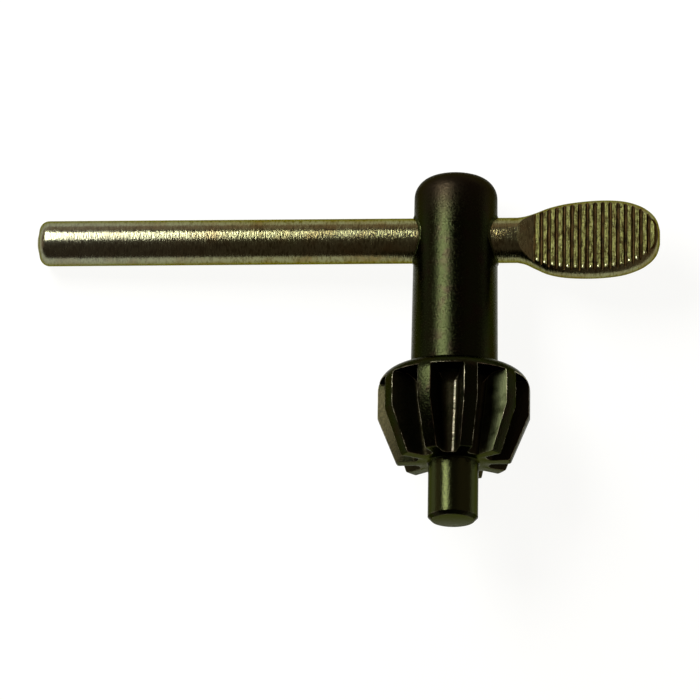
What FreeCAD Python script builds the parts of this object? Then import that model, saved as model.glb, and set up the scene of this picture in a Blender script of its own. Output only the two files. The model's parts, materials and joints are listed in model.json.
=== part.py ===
import FreeCAD, Part
import math
import os

os.makedirs("parts", exist_ok=True)

# Drill chuck key, in millimetres, lying on a level surface as it comes to rest.
# +X runs along the cross handle to the thumb paddle, +Y from the pilot towards the
# domed end of the shank, +Z is up and z = 0 is the surface it lies on.

# Pilot pin that enters the hole in the chuck body
PILOT_R = 4.0
PILOT_CHAMFER = 0.6
PILOT_ROOT_BEVEL = 0.3

# Bevel pinion, distances measured along the key from the pilot's end face
FACE_Z = 9.55
HEEL_Z = 16.9
TOE_R = 9.1
PINION_R = 12.1
TOE_ROUND = 0.5
CROWN_ROUND = 3.1
CROWN_Z = 21.4
TEETH = 10
TOOTH_TURN = 15.6
ROOT_R = 5.75
ROOT_SLOPE = 7.5
GAP_FLANK_ANGLE = 16.0
GAP_FLOOR_TOE = 1.9
GAP_FLOOR_HEEL = 2.45
GAP_ROOT_FILLET = 0.9
GAP_END_Z = 22.6
GAP_END_ROUND = 2.6
GAP_OVERRUN = 1.0

# Shank
SHANK_FOOT_R = 6.93
SHANK_TOP_R = 6.63
SHANK_FOOT_BEVEL = 0.5
DOME_ROUND = 3.3
DOME_Z = 53.75

# Cross handle, distances measured from the key's own axis
BAR_R = 3.62
BAR_Z = 46.8
BAR_LEFT = 66.9
BAR_END_ROUND = 1.6
BAR_END_CROWN = 0.35
HOLE_CLEARANCE = 0.015
STAKE_WIDTH = 0.5
STAKE_HEIGHT = 0.14

# Thumb paddle forged at the right end of the handle
NECK_END = 9.9
PADDLE_HALF_T = 2.0
PADDLE_END = 32.6
RIDGES = 16
RIDGE_PITCH = 1.22
FIRST_RIDGE = 13.15
GROOVE_TOP = 0.66
GROOVE_FLOOR = 0.14
GROOVE_DEPTH = 0.36

# Sections of the paddle before its faces are pressed flat: distance from the key's
# axis, half width, half depth and how far the section's middle lies off the bar's axis
PADDLE_SECTIONS = [
    (NECK_END, BAR_R, BAR_R, 0.0),
    (11.2, 3.90, 3.60, -0.06),
    (12.9, 4.64, 3.52, -0.20),
    (15.0, 5.54, 3.48, -0.24),
    (18.0, 6.18, 3.52, -0.16),
    (22.4, 6.46, 3.60, 0.02),
    (26.4, 6.20, 3.46, 0.18),
    (29.2, 5.36, 3.10, 0.26),
    (31.0, 4.22, 2.60, 0.28),
    (32.1, 2.86, 1.90, 0.26),
    (PADDLE_END, 1.20, 0.90, 0.24),
]
FLARE_LEAD = 0.15
FLARE_MIDDLE = (10.9, 2.55)
NOSE_HALF_T = 1.3
NOSE_LEAD = 0.5


def vec(x, y, z):
    return FreeCAD.Vector(x, y, z)


def turned(edges):
    face = Part.Face(Part.Wire(edges))
    return face.revolve(vec(0, 0, 0), vec(0, 0, 1), 360)


def line(a, b):
    return Part.makeLine(vec(a[0], 0, a[1]), vec(b[0], 0, b[1]))


def arc(a, middle, b):
    curve = Part.Arc(
        vec(a[0], 0, a[1]), vec(middle[0], 0, middle[1]), vec(b[0], 0, b[1])
    )
    return curve.toShape().toNurbs().Edges[0]


def key_blank():
    """The pilot, the pinion's blank and the shank, turned in one piece."""
    half = math.sqrt(0.5)
    slope = math.atan2(PINION_R - TOE_R, HEEL_Z - FACE_Z)
    # The rounded corner between the front face and the sloping tooth tips
    setback = TOE_ROUND * math.tan((math.pi / 2 - slope) / 2)
    toe_in = (TOE_R - setback, FACE_Z)
    toe_out = (
        TOE_R + setback * math.sin(slope),
        FACE_Z + setback * math.cos(slope),
    )
    toe_centre = (toe_in[0], FACE_Z + TOE_ROUND)
    bisector = -(math.pi / 4 + slope / 2)
    toe_middle = (
        toe_centre[0] + TOE_ROUND * math.cos(bisector),
        toe_centre[1] + TOE_ROUND * math.sin(bisector),
    )
    crown_r = PINION_R - CROWN_ROUND
    crown_top = CROWN_Z + CROWN_ROUND
    crown_middle = (crown_r + CROWN_ROUND * half, CROWN_Z + CROWN_ROUND * half)
    foot_r = SHANK_FOOT_R + SHANK_FOOT_BEVEL
    foot_z = crown_top + SHANK_FOOT_BEVEL
    dome_r = SHANK_TOP_R - DOME_ROUND
    dome_top = DOME_Z + DOME_ROUND
    dome_middle = (dome_r + DOME_ROUND * half, DOME_Z + DOME_ROUND * half)
    return turned([
        line((0, 0), (PILOT_R - PILOT_CHAMFER, 0)),
        line((PILOT_R - PILOT_CHAMFER, 0), (PILOT_R, PILOT_CHAMFER)),
        line((PILOT_R, PILOT_CHAMFER), (PILOT_R, FACE_Z - PILOT_ROOT_BEVEL)),
        line((PILOT_R, FACE_Z - PILOT_ROOT_BEVEL), (PILOT_R + PILOT_ROOT_BEVEL, FACE_Z)),
        line((PILOT_R + PILOT_ROOT_BEVEL, FACE_Z), toe_in),
        arc(toe_in, toe_middle, toe_out),
        line(toe_out, (PINION_R, HEEL_Z)),
        line((PINION_R, HEEL_Z), (PINION_R, CROWN_Z)),
        arc((PINION_R, CROWN_Z), crown_middle, (crown_r, crown_top)),
        line((crown_r, crown_top), (foot_r, crown_top)),
        line((foot_r, crown_top), (SHANK_FOOT_R, foot_z)),
        line((SHANK_FOOT_R, foot_z), (SHANK_TOP_R, DOME_Z)),
        arc((SHANK_TOP_R, DOME_Z), dome_middle, (dome_r, dome_top)),
        line((dome_r, dome_top), (0, dome_top)),
        line((0, dome_top), (0, 0)),
    ])


def gap_section(z):
    """Corners of one tooth gap across the key at height z, opening along +X."""
    along = (z - FACE_Z) / (HEEL_Z - FACE_Z)
    floor = ROOT_R + (z - FACE_Z) * math.tan(math.radians(ROOT_SLOPE))
    half_floor = (GAP_FLOOR_TOE + (GAP_FLOOR_HEEL - GAP_FLOOR_TOE) * along) / 2
    reach = PINION_R * 1.25
    half_top = half_floor + (reach - floor) * math.tan(math.radians(GAP_FLANK_ANGLE))
    return [
        vec(floor, -half_floor, z),
        vec(floor, half_floor, z),
        vec(reach, half_top, z),
        vec(reach, -half_top, z),
    ]


def flat_face(points):
    return Part.Face(Part.makePolygon(points + [points[0]]))


def gap_end():
    """What stays solid behind the gaps: they run out in a hollow curve, so the
    crown behind the teeth is an unbroken ring."""
    half = math.sqrt(0.5)
    low_z = GAP_END_Z - GAP_END_ROUND
    floor = ROOT_R + (low_z - FACE_Z) * math.tan(math.radians(ROOT_SLOPE))
    middle = (floor + GAP_END_ROUND * (1 - half), low_z + GAP_END_ROUND * half)
    outer = 1.5 * PINION_R
    top = GAP_END_Z + 2 * GAP_OVERRUN
    return turned([
        line((0, low_z), (floor, low_z)),
        arc((floor, low_z), middle, (floor + GAP_END_ROUND, GAP_END_Z)),
        line((floor + GAP_END_ROUND, GAP_END_Z), (outer, GAP_END_Z)),
        line((outer, GAP_END_Z), (outer, top)),
        line((outer, top), (0, top)),
        line((0, top), (0, low_z)),
    ])


def tooth_gaps():
    """The gaps run from in front of the toe to the hollow curve that ends them."""
    low = gap_section(FACE_Z - GAP_OVERRUN)
    high = gap_section(GAP_END_Z + GAP_OVERRUN)
    faces = [flat_face(low), flat_face(high)]
    for i in range(4):
        j = (i + 1) % 4
        faces.append(flat_face([low[i], low[j], high[j], high[i]]))
    first = Part.Solid(Part.Shell(faces))
    floor_edges = []
    for i in (0, 1):
        for edge in first.Edges:
            ends = [vertex.Point for vertex in edge.Vertexes]
            if any(e.distanceToPoint(low[i]) < 1e-6 for e in ends) and any(
                e.distanceToPoint(high[i]) < 1e-6 for e in ends
            ):
                floor_edges.append(edge)
    end = gap_end()
    end.rotate(vec(0, 0, 0), vec(0, 0, 1), 180)
    first = first.makeFillet(GAP_ROOT_FILLET, floor_edges).cut(end).Solids[0]
    pitch = 360.0 / TEETH
    gaps = []
    for i in range(TEETH):
        gap = first.copy()
        turn = -90 + TOOTH_TURN + pitch * (i + 0.5)
        gap.rotate(vec(0, 0, 0), vec(0, 0, 1), turn)
        gaps.append(gap)
    return gaps


def key_body():
    """Pilot, pinion and shank, with a raised rim staked round the cross hole."""
    body = key_blank().cut(tooth_gaps())
    rim = Part.makeCylinder(
        BAR_R + STAKE_WIDTH, 4 * SHANK_TOP_R, vec(-2 * SHANK_TOP_R, 0, BAR_Z), vec(1, 0, 0)
    )
    shank_r = SHANK_TOP_R + (SHANK_FOOT_R - SHANK_TOP_R) * (DOME_Z - BAR_Z) / (
        DOME_Z - CROWN_Z - CROWN_ROUND
    )
    reach = BAR_R + 2 * STAKE_WIDTH
    raised = Part.makeCylinder(
        shank_r + STAKE_HEIGHT, 2 * reach, vec(0, 0, BAR_Z - reach), vec(0, 0, 1)
    )
    body = body.fuse(rim.common(raised))
    hole = Part.makeCylinder(
        BAR_R + HOLE_CLEARANCE, 6 * SHANK_TOP_R, vec(-3 * SHANK_TOP_R, 0, BAR_Z), vec(1, 0, 0)
    )
    return body.cut(hole).removeSplitter()


def rod():
    """The round part of the handle, from its rounded left end to the neck."""
    end = -BAR_LEFT
    half = math.sqrt(0.5)
    flat_r = BAR_R - BAR_END_ROUND
    side = (end + BAR_END_CROWN + BAR_END_ROUND, BAR_R)
    corner = (end + BAR_END_CROWN, flat_r)
    middle = (
        end + BAR_END_CROWN + BAR_END_ROUND * (1 - half),
        flat_r + BAR_END_ROUND * half,
    )
    crown = (end + BAR_END_CROWN * 0.25, flat_r * 0.5)

    def point(p):
        return vec(p[0], 0, p[1])

    edges = [
        Part.Arc(point((end, 0)), point(crown), point(corner)).toShape(),
        Part.Arc(point(corner), point(middle), point(side)).toShape().toNurbs().Edges[0],
        Part.makeLine(point(side), point((NECK_END, BAR_R))),
        Part.makeLine(point((NECK_END, BAR_R)), point((NECK_END, 0))),
        Part.makeLine(point((NECK_END, 0)), point((end, 0))),
    ]
    face = Part.Face(Part.Wire(edges))
    return face.revolve(vec(0, 0, 0), vec(1, 0, 0), 360)


def swelling():
    """The rod's right end widens through oval sections before it is pressed flat."""
    wires = []
    for x, half_width, half_depth, middle in PADDLE_SECTIONS:
        centre = vec(x, 0, middle)
        oval = Part.Ellipse(
            centre.add(vec(0, 0, half_width)), centre.add(vec(0, half_depth, 0)), centre
        )
        wires.append(Part.Wire(oval.toShape()))
    return Part.makeLoft(wires, True, False)


def squeezed_away(side):
    """What forging takes from the front (-1) or back (+1) of the swelling,
    leaving the flared neck and a flat face crossed by straight ridges."""
    depth = 3 * BAR_R

    def point(x, y):
        return vec(x, side * y, -depth)

    ridge_top = (RIDGE_PITCH - GROOVE_TOP) / 2
    ridge_foot = (RIDGE_PITCH - GROOVE_FLOOR) / 2
    low = PADDLE_HALF_T - GROOVE_DEPTH
    start = point(NECK_END - FLARE_LEAD, BAR_R + FLARE_LEAD)
    foot = point(FIRST_RIDGE - RIDGE_PITCH / 2, low)
    corners = [foot]
    for i in range(RIDGES):
        x = FIRST_RIDGE + i * RIDGE_PITCH
        corners.append(point(x - ridge_foot, low))
        corners.append(point(x - ridge_top, PADDLE_HALF_T))
        corners.append(point(x + ridge_top, PADDLE_HALF_T))
        corners.append(point(x + ridge_foot, low))
    corners.append(point(PADDLE_END + NOSE_LEAD, NOSE_HALF_T))
    corners.append(point(PADDLE_END + NOSE_LEAD, depth))
    corners.append(point(NECK_END - FLARE_LEAD, depth))
    corners.append(start)
    edges = [Part.Arc(start, point(*FLARE_MIDDLE), foot).toShape()]
    for a, b in zip(corners, corners[1:]):
        edges.append(Part.makeLine(a, b))
    return Part.Face(Part.Wire(edges)).extrude(vec(0, 0, 2 * depth))


def handle_bar():
    """The handle in its own place on the key: a rod forged flat at one end."""
    bar = rod().fuse(swelling()).removeSplitter()
    bar = bar.cut([squeezed_away(-1), squeezed_away(1)])
    bar.translate(vec(0, 0, BAR_Z))
    return bar


def rest_angles():
    """The slope of the key and its roll when it lies on the edge where the gaps end,
    the rounded end of the shank and the left end of the handle."""
    rise = GAP_END_Z - CROWN_Z
    radius = PINION_R - CROWN_ROUND + math.sqrt(CROWN_ROUND ** 2 - rise ** 2)
    z = GAP_END_Z
    a = radius - (SHANK_TOP_R - DOME_ROUND)
    b = DOME_Z - z
    slope = math.acos(DOME_ROUND / math.hypot(a, b)) - math.atan2(b, a)
    height = radius * math.cos(slope) + z * math.sin(slope)
    end_x = BAR_LEFT - BAR_END_CROWN - BAR_END_ROUND
    end_r = BAR_R - BAR_END_ROUND
    drop = height - BAR_Z * math.sin(slope) - BAR_END_ROUND
    lean = math.asin(drop / math.hypot(end_x, end_r)) - math.atan2(end_r, end_x)
    roll = math.asin(math.sin(lean) / math.cos(slope))
    return slope, roll, height


def lay_down(shape, slope, roll, height):
    shape.rotate(vec(0, 0, 0), vec(0, 0, 1), -math.degrees(roll))
    shape.rotate(vec(0, 0, 0), vec(1, 0, 0), -90 - math.degrees(slope))
    shape.translate(vec(0, 0, height))
    return shape


slope, roll, height = rest_angles()
body = lay_down(key_body(), slope, roll, height)
bar = lay_down(handle_bar(), slope, roll, height)
box = Part.makeCompound([body, bar]).optimalBoundingBox()
shift = vec(-(box.XMin + box.XMax) / 2, -(box.YMin + box.YMax) / 2, 0)
body.translate(shift)
bar.translate(shift)

body.exportStep("parts/key_body.step")
bar.exportStep("parts/handle_bar.step")

axis = vec(0, math.cos(slope), -math.sin(slope))
start = vec(0, 0, height).add(shift)
print("slope", round(math.degrees(slope), 3), "roll", round(math.degrees(roll), 3))
print("pilot end", [round(v, 4) for v in start], "axis", [round(v, 5) for v in axis])
print("box", round(box.XLength, 3), round(box.YLength, 3), round(box.ZLength, 3), "low", round(box.ZMin, 4))
for name, shape in (("key_body", body), ("handle_bar", bar)):
    print(name, shape.ShapeType, len(shape.Solids), shape.isValid(), round(shape.Volume, 2))
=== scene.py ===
import json
import math

import bmesh
import bpy
from mathutils import Matrix, Vector, noise


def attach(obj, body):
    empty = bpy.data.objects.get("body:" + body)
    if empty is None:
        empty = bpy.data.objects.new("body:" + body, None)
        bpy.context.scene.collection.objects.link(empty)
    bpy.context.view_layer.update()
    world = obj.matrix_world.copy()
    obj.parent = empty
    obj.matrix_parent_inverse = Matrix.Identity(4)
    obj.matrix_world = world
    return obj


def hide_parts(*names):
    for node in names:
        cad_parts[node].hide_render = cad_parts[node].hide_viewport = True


bl_info = {
    "name": "Drill chuck key",
    "version": (1, 0, 0),
    "blender": (4, 5, 0),
    "location": "3D View > Sidebar > Chuck Key",
    "description": "Dresses the solids of a drill chuck key in worn metal",
    "category": "Object",
}

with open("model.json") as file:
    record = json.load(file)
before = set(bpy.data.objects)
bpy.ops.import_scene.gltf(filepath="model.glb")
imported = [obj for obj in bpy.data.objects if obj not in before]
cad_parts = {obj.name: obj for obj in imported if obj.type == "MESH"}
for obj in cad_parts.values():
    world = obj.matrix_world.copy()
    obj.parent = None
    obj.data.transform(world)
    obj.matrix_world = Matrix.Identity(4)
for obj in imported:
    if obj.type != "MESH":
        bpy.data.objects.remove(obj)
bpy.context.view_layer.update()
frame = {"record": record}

MM = 0.001
BODY = "root"
PILOT_MOUNT = next(m for m in frame["record"]["mounts"] if m["name"] == "pilot")

# Materials of the body and of the bar, in the order in which their pieces are given them
OILED, PAINTED_HIGHLIGHT_ROOT, PAINTED_LIT_FLANK, POLISHED, GAP_FILM = range(5)
DRAWN, FORGED, GROOVED = range(3)

# Fewest faces that a whole body or bar comes out with
FEWEST_FACES = 1000


def millimetres(name, description, default):
    """A size in millimetres."""
    return bpy.props.FloatProperty(name=name, description=description, default=default, min=0.0)


def degrees(name, description, default):
    """An angle in degrees."""
    return bpy.props.FloatProperty(name=name, description=description, default=default)


def metres(name, description, default):
    """A length on the stage, in metres."""
    return bpy.props.FloatProperty(
        name=name, description=description, default=default, unit="LENGTH"
    )


def colour(name, description, default):
    """A colour as an sRGB hex value."""
    return bpy.props.StringProperty(name=name, description=description, default=default)


class KeyPlace(bpy.types.PropertyGroup):
    """How the key lies on the surface."""

    slope_deg: degrees("Slope", "Fall of the key's axis towards its domed end, degrees", 9.447)
    roll_deg: degrees("Roll", "Rise of the handle towards the paddle, degrees", 3.678)
    mount_z: millimetres("Pilot middle", "Distance of the pilot's mount from its end face, mm", 4.9)


class BodySizes(bpy.types.PropertyGroup):
    """Sizes of the pilot, pinion and shank, in millimetres."""

    pilot_r: millimetres("Pilot radius", "Radius of the pilot pin, mm", 4.0)
    pilot_chamfer: millimetres("Pilot chamfer", "Chamfer at the pilot's end, mm", 0.6)
    pilot_fillet: millimetres("Pilot root", "Fillet where the pilot meets the pinion, mm", 0.35)
    face_z: millimetres("Front face", "Front face of the pinion from the pilot's end, mm", 9.55)
    heel_z: millimetres("Heel", "Where the sloping tooth tips end, mm", 16.9)
    toe_r: millimetres("Toe radius", "Tip radius at the front face, mm", 9.1)
    toe_round: millimetres("Toe rounding", "Rounding of the front corner, mm", 0.5)
    pinion_r: millimetres("Pinion radius", "Largest tip radius, mm", 12.1)
    crown_round: millimetres("Crown rounding", "Rounding of the pinion's back, mm", 3.1)
    crown_z: millimetres("Crown height", "Middle of the crown's rounding, mm", 21.4)
    teeth: bpy.props.IntProperty(name="Teeth", description="Number of teeth", default=10, min=6)
    tooth_turn: degrees("Tooth turn", "Turn of the first tooth from the front, degrees", 15.6)
    root_r: millimetres("Root radius", "Radius of the gap floors at the front face, mm", 5.75)
    root_slope: degrees("Root slope", "Slope of the gap floors, degrees", 7.5)
    flank: degrees("Flank angle", "Lean of each flank from the gap's middle, degrees", 16.0)
    floor_toe: millimetres("Floor at toe", "Width of the gap floors at the front face, mm", 1.9)
    floor_heel: millimetres("Floor at heel", "Width of the gap floors at the heel, mm", 2.45)
    root_fillet: millimetres("Root fillet", "Fillet along the gap floors, mm", 0.9)
    gap_end_z: millimetres("Gap end", "Where the gaps end on the crown, mm", 22.6)
    gap_end_round: millimetres("Gap end rounding", "Hollow curve in which the gaps run out, mm", 2.6)
    foot_r: millimetres("Shank foot", "Radius of the shank at the pinion, mm", 6.93)
    top_r: millimetres("Shank top", "Radius of the shank at the dome, mm", 6.63)
    foot_fillet: millimetres("Foot fillet", "Fillet between pinion and shank, mm", 0.6)
    dome_round: millimetres("Dome rounding", "Rounding of the shank's end, mm", 3.3)
    dome_z: millimetres("Dome height", "Middle of the dome's rounding, mm", 53.75)
    edge: millimetres("Edge rounding", "Width of the rounded edges, mm", 0.28)
    # Painted light: the tooth whose flank is painted paler where the lamp falls on it
    painted_lit_flank: bpy.props.IntProperty(
        name="Rubbed flank", description="Number of the tooth with the most rubbed flank", default=1
    )
    # Painted highlight: the tooth whose root fillet is painted bright where the lamp's streak falls
    painted_highlight_root: bpy.props.IntProperty(
        name="Rubbed root", description="Number of the tooth with the most rubbed root", default=0
    )
    rim_width: millimetres("Rim width", "Width of the staked rim, mm", 0.5)
    rim_height: millimetres("Rim height", "Height of the staked rim, mm", 0.14)


class HandleSizes(bpy.types.PropertyGroup):
    """Sizes of the cross handle, in millimetres."""

    bar_r: millimetres("Bar radius", "Radius of the round rod, mm", 3.62)
    bar_z: millimetres("Bar height", "Height of the rod from the pilot's end, mm", 46.8)
    bar_left: millimetres("Left reach", "Reach of the rod to the left, mm", 66.9)
    end_round: millimetres("End rounding", "Rounding of the rod's left end, mm", 1.6)
    end_crown: millimetres("End crown", "Bulge of the left end face, mm", 0.35)
    neck_end: millimetres("Neck end", "Where the rod starts to swell, mm", 9.9)
    half_t: millimetres("Half thickness", "Half the thickness over the ridges, mm", 2.0)
    paddle_end: millimetres("Paddle end", "Reach of the paddle to the right, mm", 32.6)
    ridges: bpy.props.IntProperty(
        name="Ridges", description="Ridges on each face", default=16, min=1
    )
    ridge_pitch: millimetres("Ridge pitch", "Distance from ridge to ridge, mm", 1.22)
    first_ridge: millimetres("First ridge", "Middle of the first ridge, mm", 13.15)
    groove_top: millimetres("Groove top", "Width of a groove at the face, mm", 0.66)
    groove_floor: millimetres("Groove floor", "Width of a groove at its floor, mm", 0.14)
    groove_depth: millimetres("Groove depth", "Depth of the grooves, mm", 0.36)
    edge: millimetres("Edge rounding", "Width of the rounded edges, mm", 0.13)


class Finishes(bpy.types.PropertyGroup):
    """Colours as sRGB hex values."""

    oxide: colour("Black oxide", "Body of the oxide film", "#1C1F10")
    oxide_brown: colour("Brown oxide", "Thin, browner patches of the film", "#1F1A12")
    # Also the film of a painted highlight along one root fillet
    worn_steel_and_highlight: colour("Worn edge", "Steel showing at the rubbed edges", "#BDB598")
    # Painted light: the colour of one tooth's flank where the lamp falls on it; also patches in the
    # painted root highlight and the pilot's worn edges
    worn_and_lit_oxide: colour("Worn flank", "Oxide half rubbed through on the tooth flanks", "#686E4C")
    oxide_gap: colour("Gap film", "Browner, duller film left in the tooth gaps", "#2D2A1B")
    oxide_pilot: colour("Pilot", "Film polished by turning in the chuck", "#33371F")
    oxide_grazing: colour("Film at grazing", "The film seen at a low angle", "#B8B8B0")
    steel_grazing: colour("Rubbed steel at grazing", "Rubbed steel seen at a low angle", "#C8C5B8")
    passivated: colour("Passivated zinc", "Olive gold of the plating", "#848460")
    passivated_brown: colour("Brown passivate", "Red brown tint of the thicker film", "#776A44")
    passivated_teal: colour("Teal passivate", "Green blue tint of the thinner film", "#7E8059")
    drawn_streak: colour("Drawing streak", "Darker film in the fine marks round the bar", "#625D3C")
    # Painted highlight: laid over the plating towards the bar's left end
    painted_highlight_zinc: colour("Rubbed zinc", "Whiter zinc where hands have thinned the film", "#8E9288")
    forged: colour("Forged face", "Darker, greener film on the grainy ridges", "#6A6C3C")
    forged_dark: colour("Forged dark", "Dark pits of the grainy ridges", "#332C17")
    # Painted shade: the colour laid in the grooves between the ridges
    groove: colour("Groove", "Brown film that gathers in the grooves", "#43341C")
    # Painted highlight: the colour of the burrs at the ridge ends
    burr_highlight_zinc: colour("Bare zinc", "Bright zinc where the film has rubbed off", "#A0A27A")
    passivated_grazing: colour("Plating at grazing", "The plating seen at a low angle", "#A6A274")
    floor: colour("Floor", "Pale studio floor", "#FAFAF8")


# Sections of the paddle before its faces are pressed flat, in millimetres: distance from
# the key's axis, half width, half depth and how far the middle lies off the bar's axis
PADDLE_SECTIONS = (
    (9.9, 3.62, 3.62, 0.0), (11.2, 3.90, 3.60, -0.06), (12.9, 4.64, 3.52, -0.20),
    (15.0, 5.54, 3.48, -0.24), (18.0, 6.18, 3.52, -0.16), (22.4, 6.46, 3.60, 0.02),
    (26.4, 6.20, 3.46, 0.18), (29.2, 5.36, 3.10, 0.26), (31.0, 4.22, 2.60, 0.28),
    (32.1, 2.86, 1.90, 0.26), (32.6, 1.20, 0.90, 0.24),
)

# The forging dies: where the flare from the rod to the flat face starts before the
# swelling, the middle of its curve as (distance from the key, half thickness), the half
# thickness at the nose, and how far the dies reach past the nose and out from the bar
FLARE_LEAD = 0.15
FLARE_MIDDLE = (10.9, 2.55)
NOSE_HALF_T = 1.3
NOSE_PAST = 0.5
DIE_REACH = 11.0

# The gap cutter and the solid that ends the gaps: how far out each reaches, as a share of
# the pinion's radius, how far the cutter goes past the gaps and how thick the solid is,
# in millimetres; then how far the drill for the cross hole reaches either way
GAP_REACH = 1.25
GAP_END_REACH = 1.5
GAP_PAST = 1.0
GAP_END_THICK = 2.0
DRILL_REACH = 20.0

# The staked rims in millimetres: how far they lap the bar, where their lip stands, how
# deep they are sunk in the shank, and the number of sections round the hole
RIM_LAP = 0.02
RIM_LIP = 0.12
RIM_SUNK = 0.6
RIM_SECTIONS = 160

# The burrs in millimetres: half sizes across, out from and along the ridges, how much
# each of these varies, how deep they sit in the ridge and how far above its lower end
BURR_HALF = (0.2, 0.1, 0.32)
BURR_SPREAD = (0.08, 0.06, 0.3)
BURR_SUNK = 0.02
BURR_RISE = 0.2

# Meshes: how many sides the turned solids and the bar have, and in millimetres, below
# what distance points of an outline are one, and then, before edges are rounded, points
# of a mesh are joined and edges are dropped
TURNED_SIDES = 240
BAR_SIDES = 96
SAME_POINT = 1e-6
JOIN_POINTS = 0.004
DROP_EDGES = 0.002

# In millimetres along the frame's axes: the oxide gets duller from the first Y to the second,
# towards the domed end, and the plating is painted paler from the second X to the first,
# towards the left end of the bar, as a painted highlight where the lamp's streak is brightest
DULL_Y = (20.0, 26.0)
DULL_ROUGHER = 0.2
PAINTED_HIGHLIGHT_X = (-42.0, -14.0)
PAINTED_HIGHLIGHT_SHARE = 0.35

# The photo's frame in pixels, and the camera's sensor and nearest distance
FRAME_PX = 700
SENSOR_MM = 36.0
NEAREST_M = 0.01

# The room round the key: which way the pale walls stand, how near to that way a
# direction has to point to meet them, the heights between which they end and how much
# light they give; then what the rest of the room gives, from left to right
WALL_WAY = (-0.6, 0.8, 0.0)
WALL_NEAR = (0.15, 0.55)
WALL_TOP = (0.3, 0.6)
WALL_LIGHT = 0.5
ROOM_RIGHT = (0.0, 0.6)
ROOM_LIGHT = (0.1, 0.28)


def key_matrix(place):
    """From the key's own axes, pilot end at zero and +Z along it, to the frame."""
    outward = Vector(PILOT_MOUNT["axis"]).normalized()
    end = Vector(PILOT_MOUNT["pos_m"]) + outward * place.mount_z * MM
    tilt = Matrix.Rotation(math.radians(-90 - place.slope_deg), 4, "X")
    turn = Matrix.Rotation(math.radians(-place.roll_deg), 4, "Z")
    return Matrix.Translation(end) @ tilt @ turn @ Matrix.Scale(MM, 4)


def arc_points(a, middle, b, steps):
    """Points of the circle through three points, from a to b."""
    ax, ay = a
    bx, by = middle
    cx, cy = b
    d = 2 * (ax * (by - cy) + bx * (cy - ay) + cx * (ay - by))
    ux = ((ax * ax + ay * ay) * (by - cy) + (bx * bx + by * by) * (cy - ay)
          + (cx * cx + cy * cy) * (ay - by)) / d
    uy = ((ax * ax + ay * ay) * (cx - bx) + (bx * bx + by * by) * (ax - cx)
          + (cx * cx + cy * cy) * (bx - ax)) / d
    r = math.hypot(ax - ux, ay - uy)
    start = math.atan2(ay - uy, ax - ux)
    mid = (math.atan2(by - uy, bx - ux) - start) % (2 * math.pi)
    full = (math.atan2(cy - uy, cx - ux) - start) % (2 * math.pi)
    if mid > full:
        full -= 2 * math.pi
    return [
        (ux + r * math.cos(start + full * i / steps), uy + r * math.sin(start + full * i / steps))
        for i in range(steps + 1)
    ]


def smooth_through(points, steps):
    """A smooth line through points of any number of values, by the Catmull-Rom rule."""
    padded = [points[0]] + list(points) + [points[-1]]
    out = []
    for k in range(1, len(padded) - 2):
        p0, p1, p2, p3 = padded[k - 1:k + 3]
        for i in range(steps):
            t = i / steps
            out.append(tuple(
                0.5 * (2 * b + (c - a) * t + (2 * a - 5 * b + 4 * c - d) * t * t
                       + (3 * b - a - 3 * c + d) * t ** 3)
                for a, b, c, d in zip(p0, p1, p2, p3)))
    out.append(tuple(points[-1]))
    return out


def clean(points):
    """Drops repeated points."""
    out = [points[0]]
    for p in points[1:]:
        if math.hypot(p[0] - out[-1][0], p[1] - out[-1][1]) > SAME_POINT:
            out.append(p)
    return out


def ringed(name, rings, around, axis):
    """A closed shape through oval rings, each the distance along the axis, the half
    width, the half depth and the middle's offset; a ring of no width is a point."""
    bm = bmesh.new()
    rows = []
    for along, wide, deep, middle in rings:
        if wide < SAME_POINT:
            outline = [(0.0, middle)]
        else:
            turns = [2 * math.pi * i / around for i in range(around)]
            outline = [(deep * math.cos(t), middle + wide * math.sin(t)) for t in turns]
        row = []
        for a, b in outline:
            row.append(bm.verts.new((a, b, along) if axis == "Z" else (along, a, b)))
        rows.append(row)
    for low, high in zip(rows, rows[1:]):
        for i in range(around):
            j = (i + 1) % around
            if len(low) == 1:
                bm.faces.new((low[0], high[j], high[i]))
            elif len(high) == 1:
                bm.faces.new((low[i], low[j], high[0]))
            else:
                bm.faces.new((low[i], low[j], high[j], high[i]))
    bmesh.ops.recalc_face_normals(bm, faces=bm.faces)
    return new_object(name, bm)


def turned(name, profile, around, axis):
    """A closed turned shape from (radius, distance along) points, ends on the axis."""
    return ringed(name, [(along, r, r, 0.0) for r, along in profile], around, axis)


def new_object(name, bm):
    """Turns a finished bmesh into an object of the scene."""
    mesh = bpy.data.meshes.new(name)
    bm.to_mesh(mesh)
    bm.free()
    made = bpy.data.objects.new(name, mesh)
    bpy.context.scene.collection.objects.link(made)
    return made


def prism(name, low, high):
    """A solid between two outlines with the same number of corners."""
    bm = bmesh.new()
    a = [bm.verts.new(p) for p in low]
    b = [bm.verts.new(p) for p in high]
    bm.faces.new(a)
    bm.faces.new(list(reversed(b)))
    for i in range(len(a)):
        j = (i + 1) % len(a)
        bm.faces.new((a[i], b[i], b[j], a[j]))
    bmesh.ops.recalc_face_normals(bm, faces=bm.faces)
    return new_object(name, bm)


def applied(piece):
    """Turns the piece's modifiers into plain mesh."""
    graph = bpy.context.evaluated_depsgraph_get()
    mesh = bpy.data.meshes.new_from_object(piece.evaluated_get(graph))
    piece.modifiers.clear()
    piece.data = mesh


def cut_away(piece, tools):
    """Cuts each tool out of the piece, and throws the tool away."""
    for tool in tools:
        step = piece.modifiers.new("cut", "BOOLEAN")
        step.operation = "DIFFERENCE"
        step.solver = "EXACT"
        step.object = tool
        applied(piece)
        bpy.data.objects.remove(tool)


def dress(piece, materials):
    """Gives the piece its materials, the main one first, before faces choose theirs."""
    piece.data.materials.clear()
    for made in materials:
        piece.data.materials.append(made)


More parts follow.
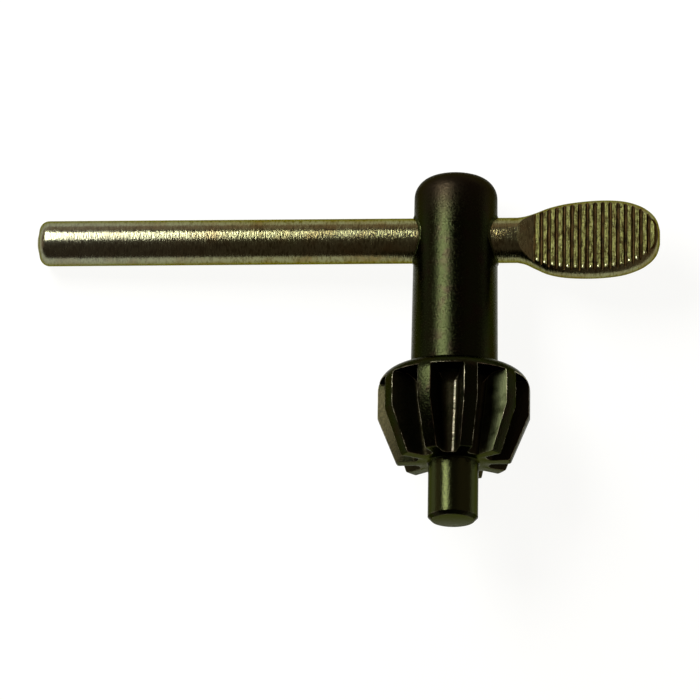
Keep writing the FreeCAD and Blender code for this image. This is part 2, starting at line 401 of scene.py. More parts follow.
def soften(piece, width, angle_deg):
    """Rounds the edges that are sharper than the angle."""
    bm = bmesh.new()
    bm.from_mesh(piece.data)
    bmesh.ops.remove_doubles(bm, verts=bm.verts, dist=JOIN_POINTS)
    bmesh.ops.dissolve_degenerate(bm, edges=bm.edges, dist=DROP_EDGES)
    bm.to_mesh(piece.data)
    bm.free()
    step = piece.modifiers.new("edges", "BEVEL")
    step.width = width
    step.segments = 3
    step.limit_method = "ANGLE"
    step.angle_limit = math.radians(angle_deg)
    applied(piece)


def mark_gaps_and_painted_light(piece, s):
    """Marks the gaps, with their duller film, and two painted lights: one tooth's flank is
    painted paler where the lamp falls on it, and another's root fillet is painted bright steel
    as a highlight."""
    # How much a face points along the turning direction: all of a flank, some of a fillet
    flank_from = 0.75
    fillet_from, fillet_to = 0.1, 0.5
    pitch = 360 / s.teeth
    for face in piece.data.polygons:
        x, y, z = face.center
        if not s.face_z < z < s.gap_end_z:
            continue
        r = math.hypot(x, y)
        facing_back = (face.normal.x * y - face.normal.y * x) / r
        floor = s.root_r + (z - s.face_z) * math.tan(math.radians(s.root_slope))
        turn = math.degrees(math.atan2(y, x)) + 90 - s.tooth_turn
        tooth = math.ceil(turn / pitch - 0.02)
        above_fillet = r > floor + s.root_fillet * 0.6
        in_root = r < floor + s.root_fillet
        if tooth == s.painted_lit_flank and facing_back > flank_from and above_fillet:
            face.material_index = PAINTED_LIT_FLANK
        elif tooth == s.painted_highlight_root and fillet_from < facing_back < fillet_to and in_root:
            face.material_index = PAINTED_HIGHLIGHT_ROOT
        elif abs(facing_back) > flank_from or in_root:
            face.material_index = GAP_FILM


def polish_pilot(piece, s):
    """Marks the pilot's round side and the two end faces, which turn in the chuck."""
    for face in piece.data.polygons:
        x, y, z = face.center
        on_side = z < s.face_z - s.pilot_fillet and math.hypot(x, y) > s.pilot_r - 0.1
        upright = abs(face.normal.z) < 0.3
        on_end = face.normal.z < -0.95 and z < s.face_z + 0.2
        if on_side and upright or on_end:
            face.material_index = POLISHED


def shade(piece, angle_deg):
    """Shades the piece smooth, apart from edges sharper than the angle."""
    for face in piece.data.polygons:
        face.use_smooth = True
    piece.data.set_sharp_from_angle(angle=math.radians(angle_deg))


def settle(piece, matrix, slot, *nodes):
    """Moves the mesh into the frame, hangs it on the body and hides the CAD parts it stands in for.
    """
    piece.data.transform(matrix)
    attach(piece, BODY)
    if nodes:
        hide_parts(*nodes)


def srgb(text):
    """The linear colour of an sRGB hex value."""
    out = []
    for i in (1, 3, 5):
        v = int(text[i:i + 2], 16) / 255
        out.append(v / 12.92 if v <= 0.04045 else ((v + 0.055) / 1.055) ** 2.4)
    return (out[0], out[1], out[2], 1.0)


def add_node(tree, kind, settings=None, inputs=None):
    """Adds a node, sets its fields and fills or links its inputs."""
    node = tree.nodes.new(kind)
    for key, value in (settings or {}).items():
        setattr(node, key, value)
    for key, value in (inputs or {}).items():
        if isinstance(value, bpy.types.NodeSocket):
            tree.links.new(value, node.inputs[key])
        else:
            node.inputs[key].default_value = value
    return node


def new_material(name):
    """A material with an empty node tree."""
    material = bpy.data.materials.new(name)
    material.use_nodes = True
    material.node_tree.nodes.clear()
    return material, material.node_tree


def spots(tree, where, size_mm, detail, low, high):
    """A mask of cloudy spots of the given size, from 0 at low to 1 at high."""
    cloud = add_node(tree, "ShaderNodeTexNoise", inputs={
        "Vector": where, "Scale": 1 / (size_mm * MM), "Detail": detail, "Roughness": 0.55})
    return add_node(tree, "ShaderNodeMapRange", {"clamp": True}, {
        "Value": cloud.outputs["Fac"], "From Min": low, "From Max": high}).outputs["Result"]


def layered(tree, under, *layers):
    """Lays colours over the one under them, each through its own mask."""
    for mask, over in layers:
        laid = add_node(tree, "ShaderNodeMix", {"data_type": "RGBA"}, {0: mask, 6: under, 7: over})
        under = laid.outputs[2]
    return under


def edge_mask(tree, width_mm, low, high):
    """The normal rounded over the given width, and a mask that compares it with the face's
    own: 0 on open faces and 1 along sharp edges, where handling rubs the film off."""
    bevel = add_node(tree, "ShaderNodeBevel", {"samples": 6}, {"Radius": width_mm * MM})
    rounded = bevel.outputs["Normal"]
    own = add_node(tree, "ShaderNodeNewGeometry").outputs["Normal"]
    alike = add_node(tree, "ShaderNodeVectorMath", {"operation": "DOT_PRODUCT"}, {
        0: rounded, 1: own})
    return rounded, add_node(tree, "ShaderNodeMapRange", {"clamp": True}, {
        "Value": alike.outputs["Value"], "From Min": high, "From Max": low}).outputs["Result"]


def black_oxide_steel(name, film, patch, grazing, worn, worn_grazing, rough, bump_mm):
    """Turned or cut steel, blackened in a hot oxide bath and oiled: a dark film, finely
    grained, that only shines where a lamp is mirrored in it, with bare steel showing
    along the sharp edges in uneven stretches."""
    material, tree = new_material(name)
    where = add_node(tree, "ShaderNodeTexCoord").outputs["Object"]
    patches = spots(tree, where, size_mm=2.4, detail=3.0, low=0.48, high=0.72)
    # The cut steel's own grain is a few hundredths of a millimetre, too fine to show at
    # 0.16 mm a pixel, so it is drawn at 0.3 mm
    grain = spots(tree, where, size_mm=0.3, detail=4.0, low=0.3, high=0.7)
    rubbing = spots(tree, where, size_mm=1.8, detail=3.0, low=0.38, high=0.62)
    rounded, edges = edge_mask(tree, width_mm=0.18, low=0.88, high=0.985)
    wear = add_node(tree, "ShaderNodeMath", {"operation": "MULTIPLY"}, {0: edges, 1: rubbing})
    wear = wear.outputs[0]
    # The domed end, which the palm pushes on, is duller and browner than the rest
    along = add_node(tree, "ShaderNodeSeparateXYZ", inputs={"Vector": where}).outputs["Y"]
    end_share = add_node(tree, "ShaderNodeMapRange", inputs={
        "Value": along, "From Min": DULL_Y[0] * MM, "From Max": DULL_Y[1] * MM}).outputs["Result"]
    base = layered(tree, srgb(film), (patches, srgb(patch)), (end_share, srgb(patch)),
                   (wear, srgb(worn)))
    low_angle = srgb(grazing)
    if worn_grazing != grazing:
        low_angle = layered(tree, low_angle, (wear, srgb(worn_grazing)))
    polish = add_node(tree, "ShaderNodeMapRange", inputs={
        "Value": grain, "To Min": rough[0], "To Max": rough[1]}).outputs["Result"]
    roughness = add_node(tree, "ShaderNodeMath", {"operation": "MULTIPLY_ADD"}, {
        0: end_share, 1: DULL_ROUGHER, 2: polish}).outputs[0]
    bump = add_node(tree, "ShaderNodeBump", inputs={
        "Strength": 0.5, "Distance": bump_mm * MM, "Height": grain, "Normal": rounded})
    shader = add_node(tree, "ShaderNodeBsdfPrincipled", inputs={
        "Base Color": base, "Metallic": 1.0, "Roughness": roughness,
        "Normal": bump.outputs["Normal"], "Specular Tint": low_angle})
    add_node(tree, "ShaderNodeOutputMaterial", inputs={"Surface": shader.outputs[0]})
    return material


def with_bare_edges(f):
    """What most of the oxide films share: bare steel along the rubbed edges."""
    return {"grazing": f.oxide_grazing, "worn": f.worn_steel_and_highlight, "worn_grazing": f.steel_grazing}


def passivated_zinc(name, film, brown, teal, streak, rubbed, grazing,
                    patch_mm, grain_mm, rough, bump_mm):
    """Steel, zinc plated and yellow passivated: olive gold with red brown and teal tints
    where the film is thicker or thinner. The grain runs round the rod, as drawing and
    barrel polishing leave it, and breaks the highlights into fine flecks. The colour given as rubbed
    is a painted highlight: the film is made paler with it towards the bar's left end."""
    material, tree = new_material(name)
    where = add_node(tree, "ShaderNodeTexCoord").outputs["Object"]
    # Marks are 1 / 0.28 times longer round the rod than along it. The real ones are a few
    # hundredths of a millimetre wide, too fine to show, so they are drawn grain_mm wide
    round_rod = add_node(tree, "ShaderNodeMapping", inputs={
        "Vector": where, "Scale": (1.0, 0.28, 0.28)}).outputs["Vector"]
    brown_spots = spots(tree, where, size_mm=patch_mm, detail=3.0, low=0.46, high=0.70)
    teal_spots = spots(tree, where, size_mm=patch_mm * 0.6, detail=3.0, low=0.56, high=0.72)
    grain = spots(tree, round_rod, size_mm=grain_mm, detail=4.0, low=0.3, high=0.7)
    streaks = spots(tree, round_rod, size_mm=grain_mm * 1.4, detail=3.0, low=0.46, high=0.66)
    # Painted highlight: the film is laid paler towards the left end of the bar, where the lamp's
    # streak is brightest
    along = add_node(tree, "ShaderNodeSeparateXYZ", inputs={"Vector": where}).outputs["X"]
    end_share = add_node(tree, "ShaderNodeMapRange", inputs={
        "Value": along, "From Min": PAINTED_HIGHLIGHT_X[0] * MM, "From Max": PAINTED_HIGHLIGHT_X[1] * MM,
        "To Min": PAINTED_HIGHLIGHT_SHARE, "To Max": 0.0}).outputs["Result"]
    base = layered(tree, srgb(film), (brown_spots, srgb(brown)), (teal_spots, srgb(teal)),
                   (streaks, srgb(streak)), (end_share, srgb(rubbed)))
    roughness = add_node(tree, "ShaderNodeMapRange", inputs={
        "Value": grain, "To Min": rough[0], "To Max": rough[1]}).outputs["Result"]
    bump = add_node(tree, "ShaderNodeBump", inputs={
        "Strength": 0.8, "Distance": bump_mm * MM, "Height": grain})
    shader = add_node(tree, "ShaderNodeBsdfPrincipled", inputs={
        "Base Color": base, "Metallic": 1.0, "Roughness": roughness,
        "Normal": bump.outputs["Normal"], "Specular Tint": srgb(grazing)})
    add_node(tree, "ShaderNodeOutputMaterial", inputs={"Surface": shader.outputs[0]})
    return material


def blank_profile(s):
    """The pilot, pinion blank and shank as (radius, height) points, in millimetres."""
    half = math.sqrt(0.5)
    slope = math.atan2(s.pinion_r - s.toe_r, s.heel_z - s.face_z)
    setback = s.toe_round * math.tan((math.pi / 2 - slope) / 2)
    toe_in = (s.toe_r - setback, s.face_z)
    toe_out = (s.toe_r + setback * math.sin(slope), s.face_z + setback * math.cos(slope))
    bisector = -(math.pi / 4 + slope / 2)
    toe_mid = (
        toe_in[0] + s.toe_round * math.cos(bisector),
        s.face_z + s.toe_round + s.toe_round * math.sin(bisector),
    )
    crown_r = s.pinion_r - s.crown_round
    crown_top = s.crown_z + s.crown_round
    foot_r = s.foot_r + s.foot_fillet
    foot_z = crown_top + s.foot_fillet
    dome_r = s.top_r - s.dome_round
    dome_top = s.dome_z + s.dome_round
    fillet_z = s.face_z - s.pilot_fillet
    points = [(0.0, 0.0), (s.pilot_r - s.pilot_chamfer, 0.0), (s.pilot_r, s.pilot_chamfer)]
    points += arc_points(
        (s.pilot_r, fillet_z),
        (s.pilot_r + s.pilot_fillet * (1 - half), fillet_z + s.pilot_fillet * half),
        (s.pilot_r + s.pilot_fillet, s.face_z), 4)
    points += arc_points(toe_in, toe_mid, toe_out, 4)
    points.append((s.pinion_r, s.heel_z))
    points += arc_points(
        (s.pinion_r, s.crown_z),
        (crown_r + s.crown_round * half, s.crown_z + s.crown_round * half),
        (crown_r, crown_top), 14)
    points += arc_points(
        (foot_r, crown_top),
        (foot_r - s.foot_fillet * half, foot_z - s.foot_fillet * half),
        (s.foot_r, foot_z), 5)
    points += arc_points(
        (s.top_r, s.dome_z),
        (dome_r + s.dome_round * half, s.dome_z + s.dome_round * half),
        (dome_r, dome_top), 14)
    points.append((0.0, dome_top))
    return clean(points)


def gap_outline(s, z):
    """One tooth gap across the key at height z, with rounded floor corners."""
    along = (z - s.face_z) / (s.heel_z - s.face_z)
    floor = s.root_r + (z - s.face_z) * math.tan(math.radians(s.root_slope))
    half_floor = (s.floor_toe + (s.floor_heel - s.floor_toe) * along) / 2
    reach = s.pinion_r * GAP_REACH
    lean = math.radians(s.flank)
    half_top = half_floor + (reach - floor) * math.tan(lean)
    # The fillet of radius f between the floor and a flank that leans outward
    f = s.root_fillet
    turn = math.pi / 2 - lean
    back = f * math.tan(turn / 2)
    centre = (floor + f, half_floor - back)
    steps = 8
    side = []
    for i in range(steps + 1):
        angle = math.pi - turn * i / steps
        side.append((centre[0] + f * math.cos(angle), centre[1] + f * math.sin(angle)))
    right = side + [(reach, half_top)]
    left = [(x, -y) for x, y in reversed(right)]
    return [Vector((x, y, z)) for x, y in left + right]


def gap_end(s):
    """What stays solid behind the gaps, so the crown is an unbroken ring."""
    half = math.sqrt(0.5)
    low_z = s.gap_end_z - s.gap_end_round
    floor = s.root_r + (low_z - s.face_z) * math.tan(math.radians(s.root_slope))
    points = [(0.0, low_z)]
    points += arc_points(
        (floor, low_z),
        (floor + s.gap_end_round * (1 - half), low_z + s.gap_end_round * half),
        (floor + s.gap_end_round, s.gap_end_z), 10)
    outer = GAP_END_REACH * s.pinion_r
    top = s.gap_end_z + GAP_END_THICK
    points += [(outer, s.gap_end_z), (outer, top), (0.0, top)]
    return turned("gap_end", points, TURNED_SIDES, "Z")


def tooth_gap(s):
    """One gap between two teeth, opening along +X, with its hollow end."""
    gap = prism(
        "gap", gap_outline(s, s.face_z - GAP_PAST), gap_outline(s, s.gap_end_z + GAP_PAST))
    cut_away(gap, [gap_end(s)])
    return gap


class CHUCKKEY_OT_body(bpy.types.Operator):
    """Builds the pilot, pinion and shank as one steel piece with worn edges"""

    bl_idname = "chuckkey.body"
    bl_label = "Key body"

    def execute(self, context):
        s = context.scene.key_body_sizes
        h = context.scene.key_handle_sizes
        f = context.scene.key_finishes
        body = turned("pinion_shank", blank_profile(s), TURNED_SIDES, "Z")
        first = tooth_gap(s)
        tools = []
        for i in range(s.teeth):
            angle = math.radians(-90 + s.tooth_turn + 360 / s.teeth * (i + 0.5))
            gap = bpy.data.objects.new("gap", first.data.copy())
            context.scene.collection.objects.link(gap)
            gap.data.transform(Matrix.Rotation(angle, 4, "Z"))
            tools.append(gap)
        bpy.data.objects.remove(first)
        low, high = -DRILL_REACH, DRILL_REACH
        drill = [(0, low), (h.bar_r, low), (h.bar_r, high), (0, high)]
        hole = turned("hole", drill, BAR_SIDES, "X")
        hole.data.transform(Matrix.Translation((0, 0, h.bar_z)))
        tools.append(hole)
        cut_away(body, tools)
        dress(body, (
            # As the oxide bath and the oil left it: nearly black, with a narrow, grainy sheen
            black_oxide_steel(
                "black_oxide_steel_oiled",
                film=f.oxide, patch=f.oxide_brown, rough=(0.08, 0.34), bump_mm=0.04,
                **with_bare_edges(f)),
            # Painted highlight: pale steel with some film left in it, laid along one root fillet
            # where the lamp's streak falls
            black_oxide_steel(
                "black_oxide_steel_painted_highlight_root",
                film=f.worn_steel_and_highlight, patch=f.worn_and_lit_oxide, grazing=f.steel_grazing,
                worn=f.worn_steel_and_highlight, worn_grazing=f.steel_grazing, rough=(0.2, 0.4), bump_mm=0.1),
            # Painted light: a paler, dull grey green on one flank, standing for the lamp's light on
            # it, with no sheen of its own
            black_oxide_steel(
                "black_oxide_steel_painted_lit_flank",
                film=f.worn_and_lit_oxide, patch=f.oxide_pilot, rough=(0.48, 0.6), bump_mm=0.05,
                **with_bare_edges(f)),
            # Polished by turning in the chuck's hole: a smoother, brighter sheen than the rest
            black_oxide_steel(
                "black_oxide_steel_polished_pilot",
                film=f.oxide_pilot, patch=f.oxide_pilot, grazing=f.oxide_grazing,
                worn=f.worn_and_lit_oxide, worn_grazing=f.oxide_grazing, rough=(0.12, 0.22), bump_mm=0.03),
            # Where nothing rubs and oil and dirt gather: browner, and duller than the oiled film
            black_oxide_steel(
                "black_oxide_steel_gap",
                film=f.oxide_gap, patch=f.oxide, rough=(0.34, 0.5), bump_mm=0.05,
                **with_bare_edges(f)),
        ))
        soften(body, s.edge, angle_deg=28)
        mark_gaps_and_painted_light(body, s)
        polish_pilot(body, s)
        shade(body, angle_deg=40)
        if len(body.data.polygons) < FEWEST_FACES:
            raise RuntimeError("the pinion and shank came out with too few faces")
        settle(body, key_matrix(context.scene.key_place), "black_oxide_steel", "key_body")
        return {"FINISHED"}


class CHUCKKEY_OT_rims(bpy.types.Operator):
    """Builds the jagged rims of metal staked up round the cross hole"""

    bl_idname = "chuckkey.rims"
    bl_label = "Staked rims"

    def execute(self, context):
        s = context.scene.key_body_sizes
        h = context.scene.key_handle_sizes
        f = context.scene.key_finishes
        # Film cracked open by the staking punch: dark, with bright scraped crests
        material = black_oxide_steel(
            "staked_steel_rubbed_bright",
            film=f.oxide_pilot, patch=f.oxide, rough=(0.2, 0.38), bump_mm=0.08,
            **with_bare_edges(f))
        foot_z = s.crown_z + s.crown_round
        for side, name in ((-1, "staked_rim_left"), (1, "staked_rim_right")):
            bm = bmesh.new()
            rings = []
            for i in range(RIM_SECTIONS):
                t = 2 * math.pi * i / RIM_SECTIONS
                rough = noise.noise(Vector((3 * math.cos(t), 3 * math.sin(t), side * 5.0)))
                fine = noise.noise(Vector((11 * math.cos(t), 11 * math.sin(t), side * 9.0)))
                wide = s.rim_width * (0.85 + 0.5 * rough + 0.25 * fine)
                high = s.rim_height * (0.9 + 0.6 * rough + 0.4 * fine)
                # From inside the bar over the lip and down into the shank
                section = (
                    (-RIM_LAP, -RIM_SUNK), (0.01, high * 0.7), (RIM_LIP, high),
                    (wide * 0.6, high * 0.75), (wide, 0.0), (wide, -RIM_SUNK),
                )
                ring = []
                for outside, lift in section:
                    r = h.bar_r + outside
                    y = r * math.sin(t)
                    z = h.bar_z + r * math.cos(t)
                    share = (z - foot_z) / (s.dome_z - foot_z)
                    shank_r = s.foot_r + (s.top_r - s.foot_r) * min(share, 1.0) + lift
                    ring.append(bm.verts.new((side * math.sqrt(shank_r ** 2 - y ** 2), y, z)))
                rings.append(ring)
            for a, b in zip(rings, rings[1:] + rings[:1]):
                for k, low in enumerate(a):
                    n = (k + 1) % len(a)
                    bm.faces.new((low, a[n], b[n], b[k]))
            bmesh.ops.recalc_face_normals(bm, faces=bm.faces)
            rim = new_object(name, bm)
            shade(rim, angle_deg=60)
            rim.data.materials.append(material)
            settle(rim, key_matrix(context.scene.key_place), "black_oxide_steel")
        return {"FINISHED"}


def handle_rings(h):
    """The rod and its widening end as oval rings."""
    half = math.sqrt(0.5)
    end = -h.bar_left
    flat_r = h.bar_r - h.end_round
    shoulder = end + h.end_crown
    points = [(0.0, end), (flat_r * 0.5, end + h.end_crown * 0.25)]
    points += arc_points(
        (flat_r, shoulder),
        (flat_r + h.end_round * half, shoulder + h.end_round * (1 - half)),
        (h.bar_r, shoulder + h.end_round), 10)
    # Rings along the rod keep its long faces short
    rings = 24
    start = shoulder + h.end_round
    points += [(h.bar_r, start + (h.neck_end - start) * i / rings) for i in range(1, rings)]
    rod = [(x, r, r, 0.0) for r, x in clean(points)]
    paddle = smooth_through(PADDLE_SECTIONS, 6)
    # The nose closes in a point just past the last section
    return rod + paddle + [(paddle[-1][0] + 0.001, 0.0, 0.0, paddle[-1][3])]


def squeezed_away(h, side):
    """What forging takes from one side of the swelling, leaving the ridged face."""
    ridge_top = (h.ridge_pitch - h.groove_top) / 2
    ridge_foot = (h.ridge_pitch - h.groove_floor) / 2
    low = h.half_t - h.groove_depth
    start = (h.neck_end - FLARE_LEAD, h.bar_r + FLARE_LEAD)
    foot = (h.first_ridge - h.ridge_pitch / 2, low)
    outline = arc_points(start, FLARE_MIDDLE, foot, 10)
    for i in range(h.ridges):
        x = h.first_ridge + i * h.ridge_pitch
        outline += [
            (x - ridge_foot, low), (x - ridge_top, h.half_t),
            (x + ridge_top, h.half_t), (x + ridge_foot, low),
        ]
    past = h.paddle_end + NOSE_PAST
    outline += [(past, NOSE_HALF_T), (past, DIE_REACH), (start[0], DIE_REACH)]
    outline = clean(outline)
    low_side = [Vector((x, side * y, -DIE_REACH)) for x, y in outline]
    high_side = [Vector((x, side * y, DIE_REACH)) for x, y in outline]
    return prism("squeeze", low_side, high_side)


def mark_ridges(piece, h):
    """Marks the forged ridge tops, and the grooves between them."""
    near = 0.05
    first = h.first_ridge - h.ridge_pitch / 2
    for face in piece.data.polygons:
        x, y, z = face.center
        if x < first - near or abs(face.normal.z) > 0.4:
            continue
        if abs(y) > h.half_t - 2 * near and abs(face.normal.y) > 0.8:
            face.material_index = FORGED
        elif abs(y) > h.half_t - h.groove_depth - near:
            face.material_index = GROOVED


def lower_end(h, x):
    """Where a ridge ends on the paddle's lower side, at the distance x from the key."""
    for near, far in zip(PADDLE_SECTIONS, PADDLE_SECTIONS[1:]):
        if near[0] <= x <= far[0]:
            share = (x - near[0]) / (far[0] - near[0])
            wide, deep, middle = (a + (b - a) * share for a, b in zip(near[1:], far[1:]))
            return middle - wide * math.sqrt(max(1 - (h.half_t / deep) ** 2, 0.0))
    raise ValueError("no section of the paddle at this distance")


class CHUCKKEY_OT_burrs(bpy.types.Operator):
    """Builds the small burrs pressed out at the lower ends of the ridges, painted bright as
    highlights
    """

    bl_idname = "chuckkey.burrs"
    bl_label = "Ridge burrs"

    def execute(self, context):
        h = context.scene.key_handle_sizes
        f = context.scene.key_finishes
        bm = bmesh.new()
        for side in (-1, 1):
            for i in range(h.ridges - 1):
                x = h.first_ridge + i * h.ridge_pitch
                uneven = noise.noise(Vector((x * 0.7, side * 3.0, 0.0)))
                size = Vector(half + spread * uneven for half, spread in zip(BURR_HALF, BURR_SPREAD))
                spot = Vector((x, side * (h.half_t - BURR_SUNK), lower_end(h, x) + BURR_RISE))
                shape = Matrix.Translation(spot) @ Matrix.Diagonal(size).to_4x4()
                bmesh.ops.create_icosphere(bm, subdivisions=3, radius=1.0, matrix=shape)
        burrs = new_object("ridge_burrs", bm)
        shade(burrs, angle_deg=60)
        burrs.data.transform(Matrix.Translation((0, 0, h.bar_z)))
        # Painted highlight: the burrs are coloured bright, pale zinc
        dress(burrs, (passivated_zinc(
            "painted_highlight_zinc_burr",
            film=f.burr_highlight_zinc, brown=f.passivated, teal=f.burr_highlight_zinc, streak=f.burr_highlight_zinc,
            rubbed=f.burr_highlight_zinc, grazing=f.passivated_grazing,
            patch_mm=0.8, grain_mm=0.3, rough=(0.2, 0.34), bump_mm=0.05),))
        if not burrs.data.polygons:
            raise RuntimeError("no burr was made")
        settle(burrs, key_matrix(context.scene.key_place), "yellow_passivated_steel")
        return {"FINISHED"}


class CHUCKKEY_OT_handle(bpy.types.Operator):
    """Builds the cross handle: a round rod forged into a ridged thumb paddle"""

    bl_idname = "chuckkey.handle"
    bl_label = "Cross handle"

    def execute(self, context):
        h = context.scene.key_handle_sizes
        f = context.scene.key_finishes
        bar = ringed("cross_handle", handle_rings(h), BAR_SIDES, "X")
        cut_away(bar, [squeezed_away(h, -1), squeezed_away(h, 1)])
        dress(bar, (
            # Drawn smooth before plating: a bright streak along the bar, broken by fine marks, and a
            # painted highlight that pales the colour towards the left end
            passivated_zinc(
                "yellow_passivated_zinc_drawn",
                film=f.passivated, brown=f.passivated_brown, teal=f.passivated_teal,
                streak=f.drawn_streak, rubbed=f.painted_highlight_zinc, grazing=f.passivated_grazing,
                patch_mm=3.5, grain_mm=0.2, rough=(0.12, 0.28), bump_mm=0.023),
            # Pressed between dies before plating: a coarse, dark grain that glitters in spots
            passivated_zinc(
                "yellow_passivated_zinc_forged",
                film=f.forged, brown=f.forged_dark, teal=f.passivated_teal,
                streak=f.forged_dark, rubbed=f.forged, grazing=f.passivated_grazing,
                patch_mm=0.45, grain_mm=0.28, rough=(0.26, 0.5), bump_mm=0.16),
            # Painted shade: a dark brown, dull film laid in the grooves between the ridges
            passivated_zinc(
                "yellow_passivated_zinc_groove_shade",
                film=f.groove, brown=f.oxide_brown, teal=f.groove,
                streak=f.groove, rubbed=f.groove, grazing=f.groove,
                patch_mm=1.5, grain_mm=0.3, rough=(0.4, 0.55), bump_mm=0.08),
        ))
        soften(bar, h.edge, angle_deg=24)
        mark_ridges(bar, h)
        shade(bar, angle_deg=40)
        bar.data.transform(Matrix.Translation((0, 0, h.bar_z)))
        if len(bar.data.polygons) < FEWEST_FACES:
            raise RuntimeError("the handle came out with too few faces")
        settle(bar, key_matrix(context.scene.key_place), "yellow_passivated_steel", "handle_bar")
        return {"FINISHED"}


class StageSettings(bpy.types.PropertyGroup):
    """Floor, window lamp, room and camera."""

    floor_half: metres("Floor reach", "Half width of the floor", 3.0)
    floor_drop: metres("Floor drop", "How far the floor lies below the key's lowest point", 0.0002)
    floor_board: colour("Floor board", "The board's own grey, which takes the shadow", "#5A5A5A")
    floor_white: bpy.props.FloatProperty(
        name="Floor white", description="Share of white that the camera sees as floor",
        default=0.975, subtype="FACTOR"
    )
    window_x: metres("Window x", "The window lamp from the key's middle, to the right", -0.195)
    window_y: metres("Window y", "The window lamp from the key's middle, to the back", 0.196)
    window_z: metres("Window z", "The window lamp above the floor", 0.285)
    window_width: metres("Window width", "Width of the window lamp", 0.145)
    window_height: metres("Window height", "Height of the window lamp", 0.24)
    window_aim: metres("Window aim", "Height above the floor that the lamp is turned to", 0.012)
    window_watts: bpy.props.FloatProperty(
        name="Window", description="Power of the window lamp", default=2.15, unit="POWER"
    )
    window_tint: colour("Window tint", "Colour of the window's light", "#FFFFFF")
    room_tint: colour("Room tint", "Colour that the walls give to what mirrors them", "#E4C8B8")
    distance: metres("Distance", "Distance of the camera", 1.6)
    view_tilt: degrees(
        "View tilt", "Camera's lean towards the pilot, degrees off square to the key", 18.5)
    view_roll: degrees(
        "View roll", "Turn of the camera about its own line of sight, degrees", 0.78)
    pixel_mm: millimetres("Pixel", "Size at the key of one pixel of the photo's frame, mm", 0.1595)
    aim_x: bpy.props.FloatProperty(
        name="Aim x", description="Bar and shank crossing, pixels right of the middle",
        default=105.6
    )
    aim_y: bpy.props.FloatProperty(
        name="Aim y", description="Bar and shank crossing, pixels above the middle",
        default=109.2
    )


def facing(spot, target, up):
    """The matrix of a lamp or camera at a spot, looking at a target."""
    back = (spot - target).normalized()
    right = up.cross(back).normalized()
    top = back.cross(right)
    return Matrix.Translation(spot) @ Matrix((right, top, back)).transposed().to_4x4()


def lay_floor(stage, finishes):
    """A matt board that the camera and mirrors see as white, with the key's shadow on it."""
    bm = bmesh.new()
    bmesh.ops.create_grid(bm, x_segments=4, y_segments=4, size=stage.floor_half)
    floor = new_object("studio_floor", bm)
    floor.location.z = -stage.floor_drop
    material, tree = new_material("matt_white_board")
    path = add_node(tree, "ShaderNodeLightPath")
    seen = add_node(tree, "ShaderNodeMath", {"operation": "MAXIMUM"}, {
        0: path.outputs["Is Camera Ray"], 1: path.outputs["Is Glossy Ray"]})
    seen = add_node(tree, "ShaderNodeMath", {"operation": "MAXIMUM"}, {
        0: seen.outputs[0], 1: path.outputs["Is Transmission Ray"]})
    glow = add_node(tree, "ShaderNodeMath", {"operation": "MULTIPLY"}, {
        0: seen.outputs[0], 1: stage.floor_white})
    matt = add_node(tree, "ShaderNodeBsdfDiffuse", inputs={"Color": srgb(stage.floor_board)})
    shine = add_node(tree, "ShaderNodeEmission", inputs={
        "Color": srgb(finishes.floor), "Strength": glow.outputs[0]})
    both = add_node(tree, "ShaderNodeAddShader", inputs={0: matt.outputs[0], 1: shine.outputs[0]})
    add_node(tree, "ShaderNodeOutputMaterial", inputs={"Surface": both.outputs[0]})
    floor.data.materials.append(material)


def set_camera(scene, stage):
    """Puts the camera where the photo was taken from, by the bar and shank crossing."""
    place = key_matrix(scene.key_place)
    crossing = place @ Vector((0, 0, scene.key_handle_sizes.bar_z))
    lean = math.radians(scene.key_place.slope_deg - stage.view_tilt)
    look = Vector((0, math.sin(lean), math.cos(lean)))
    up = Matrix.Rotation(math.radians(stage.view_roll), 3, look) @ Vector(
        (0, math.cos(lean), -math.sin(lean)))
    right = up.cross(look)
    pixel = stage.pixel_mm * MM
    target = crossing - right * stage.aim_x * pixel - up * stage.aim_y * pixel
    camera = bpy.data.cameras.new("camera")
    camera.sensor_width = SENSOR_MM
    camera.lens = camera.sensor_width * stage.distance / (FRAME_PX * pixel)
    camera.clip_start = NEAREST_M
    camera_object = bpy.data.objects.new("camera", camera)
    scene.collection.objects.link(camera_object)
    camera_object.matrix_world = facing(target + look * stage.distance, target, up)
    scene.camera = camera_object


def hang_window(scene, stage):
    """One soft lamp, taller than wide, above the key's domed end and to its left."""
    lamp = bpy.data.lights.new("window", "AREA")
    lamp.shape = "RECTANGLE"
    lamp.size = stage.window_width
    lamp.size_y = stage.window_height
    lamp.energy = stage.window_watts
    lamp.color = srgb(stage.window_tint)[:3]
    window = bpy.data.objects.new("window", lamp)
    scene.collection.objects.link(window)
    spot = Vector((stage.window_x, stage.window_y, stage.window_z))
    window.matrix_world = facing(spot, Vector((0, 0, stage.window_aim)), Vector((0, 1, 0)))


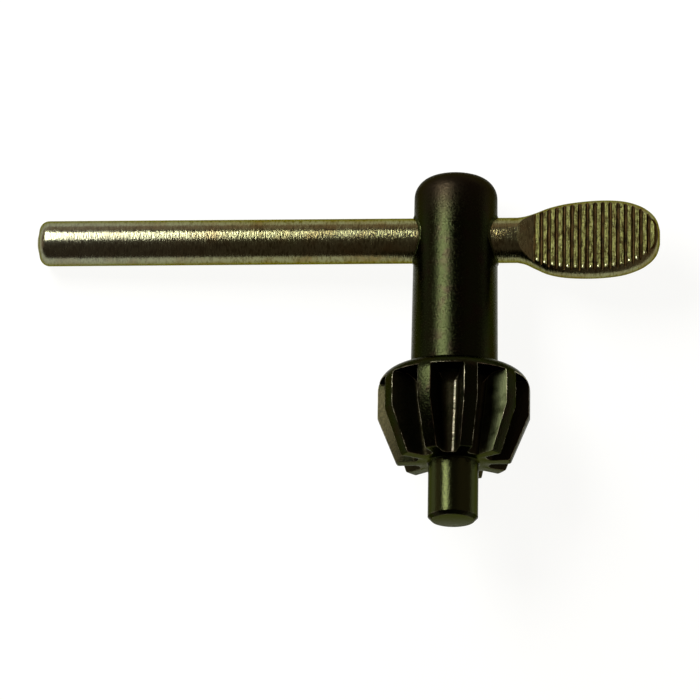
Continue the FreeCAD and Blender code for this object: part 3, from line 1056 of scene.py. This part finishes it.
def build_room(scene, stage, finishes):
    """Pale walls low on the left and behind, and a dim room round the rest."""
    world = bpy.data.worlds.new("studio")
    scene.world = world
    world.use_nodes = True
    tree = world.node_tree
    tree.nodes.clear()
    camera_ray = add_node(tree, "ShaderNodeLightPath").outputs["Is Camera Ray"]
    where = add_node(tree, "ShaderNodeTexCoord").outputs["Generated"]
    parts = add_node(tree, "ShaderNodeSeparateXYZ", inputs={"Vector": where})
    aside = add_node(tree, "ShaderNodeVectorMath", {"operation": "DOT_PRODUCT"}, {
        0: where, 1: WALL_WAY})
    smooth = {"interpolation_type": "SMOOTHSTEP"}
    wall = add_node(tree, "ShaderNodeMapRange", smooth, {
        "Value": aside.outputs["Value"], "From Min": WALL_NEAR[0], "From Max": WALL_NEAR[1]})
    low = add_node(tree, "ShaderNodeMapRange", smooth, {
        "Value": parts.outputs["Z"], "From Min": WALL_TOP[0], "From Max": WALL_TOP[1],
        "To Min": WALL_LIGHT, "To Max": 0.0})
    right = add_node(tree, "ShaderNodeMapRange", smooth, {
        "Value": parts.outputs["X"], "From Min": ROOM_RIGHT[0], "From Max": ROOM_RIGHT[1],
        "To Min": ROOM_LIGHT[0], "To Max": ROOM_LIGHT[1]})
    room = add_node(tree, "ShaderNodeMath", {"operation": "MULTIPLY_ADD"}, {
        0: wall.outputs["Result"], 1: low.outputs["Result"], 2: right.outputs["Result"]})
    seen = add_node(tree, "ShaderNodeMath", {"operation": "MAXIMUM"}, {
        0: camera_ray, 1: room.outputs[0]})
    tint = layered(tree, srgb(stage.room_tint), (camera_ray, srgb(finishes.floor)))
    sky = add_node(tree, "ShaderNodeBackground", inputs={
        "Color": tint, "Strength": seen.outputs[0]})
    add_node(tree, "ShaderNodeOutputWorld", inputs={"Surface": sky.outputs[0]})


class CHUCKKEY_OT_stage(bpy.types.Operator):
    """Sets the pale floor, the window lamp, the room and the camera"""

    bl_idname = "chuckkey.stage"
    bl_label = "Stage"

    def execute(self, context):
        scene = context.scene
        lay_floor(scene.key_stage, scene.key_finishes)
        set_camera(scene, scene.key_stage)
        hang_window(scene, scene.key_stage)
        build_room(scene, scene.key_stage, scene.key_finishes)
        scene.view_settings.view_transform = "Standard"
        return {"FINISHED"}


class CHUCKKEY_PT_panel(bpy.types.Panel):
    """Lists the pieces of the key and the stage"""

    bl_label = "Chuck Key"
    bl_idname = "CHUCKKEY_PT_panel"
    bl_space_type = "VIEW_3D"
    bl_region_type = "UI"
    bl_category = "Chuck Key"

    def draw(self, context):
        for operator in OPERATORS:
            self.layout.operator(operator.bl_idname)


GROUPS = (
    (KeyPlace, "key_place"), (BodySizes, "key_body_sizes"), (HandleSizes, "key_handle_sizes"),
    (Finishes, "key_finishes"), (StageSettings, "key_stage"),
)
OPERATORS = (
    CHUCKKEY_OT_body, CHUCKKEY_OT_rims, CHUCKKEY_OT_handle, CHUCKKEY_OT_burrs, CHUCKKEY_OT_stage,
)


def register():
    """Registers the settings, the operators and the panel."""
    for group, name in GROUPS:
        bpy.utils.register_class(group)
        setattr(bpy.types.Scene, name, bpy.props.PointerProperty(type=group))
    for cls in OPERATORS + (CHUCKKEY_PT_panel,):
        bpy.utils.register_class(cls)


def unregister():
    """Takes back what register did, in reverse."""
    for cls in reversed(OPERATORS + (CHUCKKEY_PT_panel,)):
        bpy.utils.unregister_class(cls)
    for group, name in reversed(GROUPS):
        delattr(bpy.types.Scene, name)
        bpy.utils.unregister_class(group)


def main():
    register()
    bpy.ops.chuckkey.body()
    bpy.ops.chuckkey.rims()
    bpy.ops.chuckkey.handle()
    bpy.ops.chuckkey.burrs()
    bpy.ops.chuckkey.stage()


if __name__ == "__main__":
    main()
